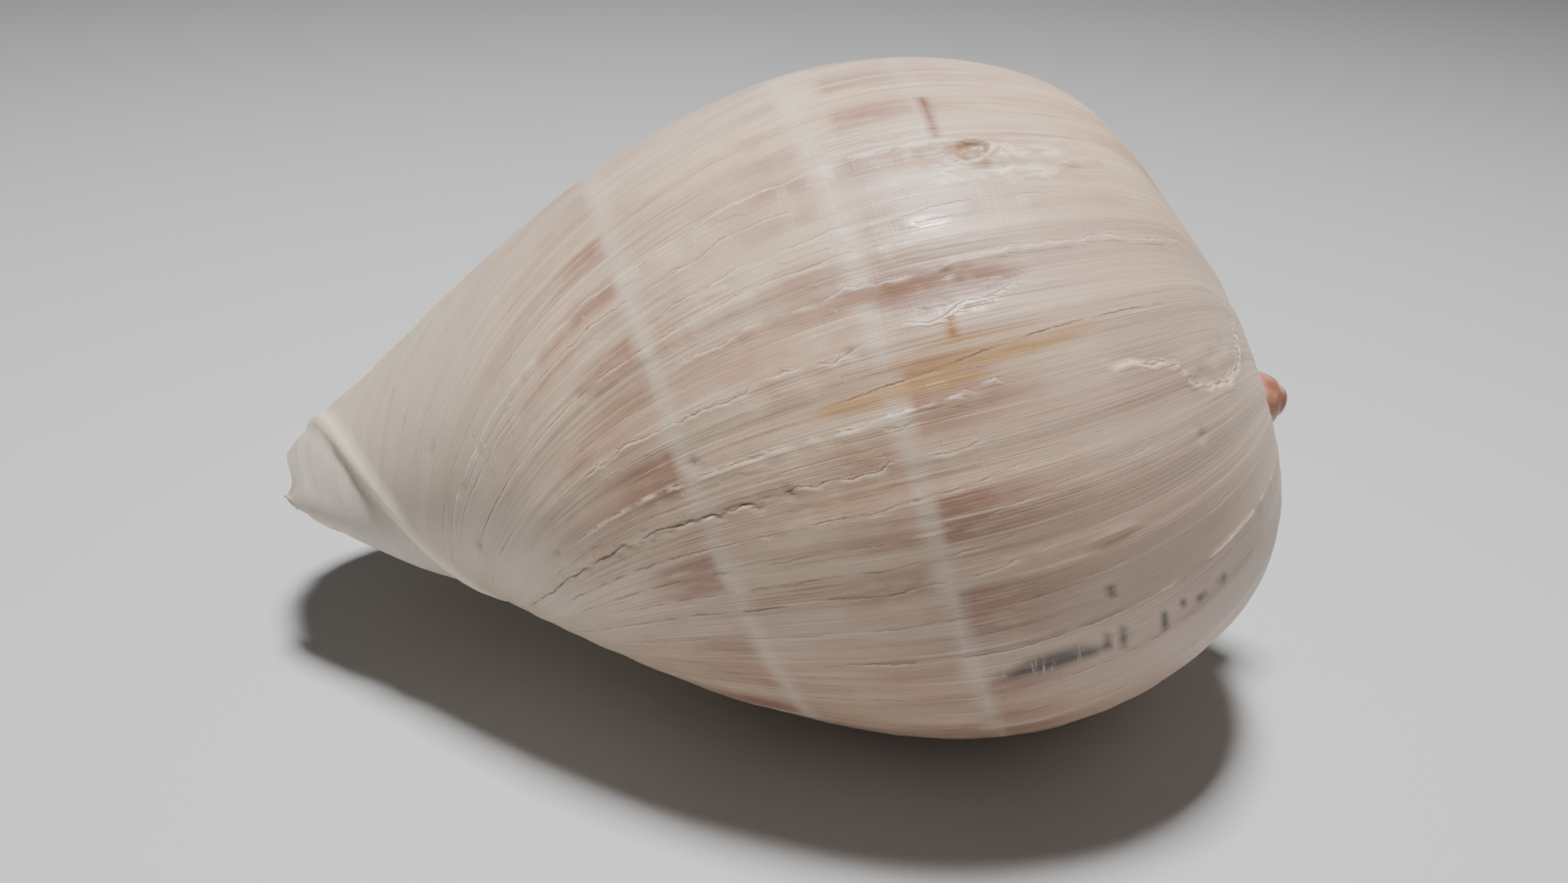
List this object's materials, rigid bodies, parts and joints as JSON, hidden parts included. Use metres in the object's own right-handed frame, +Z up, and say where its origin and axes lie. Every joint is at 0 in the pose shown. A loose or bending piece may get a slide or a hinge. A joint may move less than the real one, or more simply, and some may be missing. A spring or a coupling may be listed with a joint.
{
  "type": "melon shell",
  "caption": "Large, thin-walled sea snail shell with a swollen last whorl, a sunken spire, a blunt nub at the apex and a wide opening, lying on its opening.",
  "frame": {"origin": "middle of the bounding box in X and Y, on the ground that the shell rests on", "axes": "+Z up, +X along the shell towards its apex, -Y towards the side seen in the picture"},
  "size_m": [0.2176, 0.1646, 0.1339],
  "materials": {
    "aged_shell": "aged, satin, cream and rosy brown shell"
  },
  "bodies": {
    "root": {"shell": "aged_shell"}
  },
  "joints": []
}
